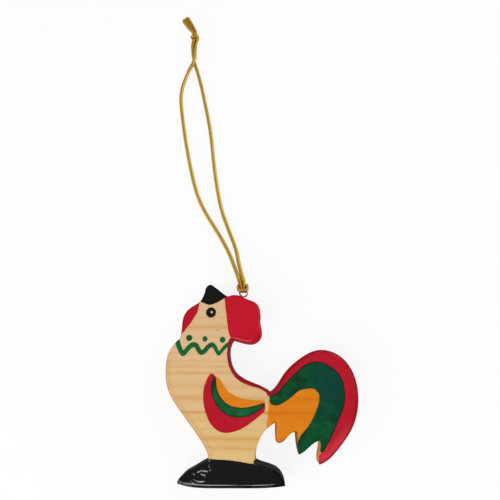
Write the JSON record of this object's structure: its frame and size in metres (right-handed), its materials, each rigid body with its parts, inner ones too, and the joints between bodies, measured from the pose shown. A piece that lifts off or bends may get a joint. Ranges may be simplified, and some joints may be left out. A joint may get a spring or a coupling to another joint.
{
  "type": "rooster of barcelos ornament",
  "caption": "Flat hanging ornament of a folk rooster, sawn from painted and lacquered wood, with a screw eye and a loop of gold cord ending in a knot.",
  "frame": {"origin": "on the back face, at the middle of the board's length and width, which is the bottom centre of the object without its cord as it lies on its back", "axes": "+Z out of the painted face, +Y from the foot to the beak and the cord, +X from the breast to the tail"},
  "size_m": [0.0705, 0.2014, 0.011],
  "materials": {
    "painted_wood": "natural pine with red, green, orange and black enamel under thick clear lacquer",
    "eye_wire": "dull nickel-plated wire",
    "gold_cord": "braided metallic yarn"
  },
  "bodies": {
    "rooster": {"rooster_board": "painted_wood", "screw_eye": "eye_wire"},
    "hanger": {"girth_hitch": "gold_cord", "cord_left": "gold_cord", "cord_right": "gold_cord", "end_knot": "gold_cord"}
  },
  "joints": [
    {"name": "hanger_swing", "type": "hinge", "parent": "rooster", "child": "hanger", "pos_m": [-0.0064, 0.03442, 0.0055], "axis": [1, 0, 0], "range_deg": [0, 40]}
  ]
}
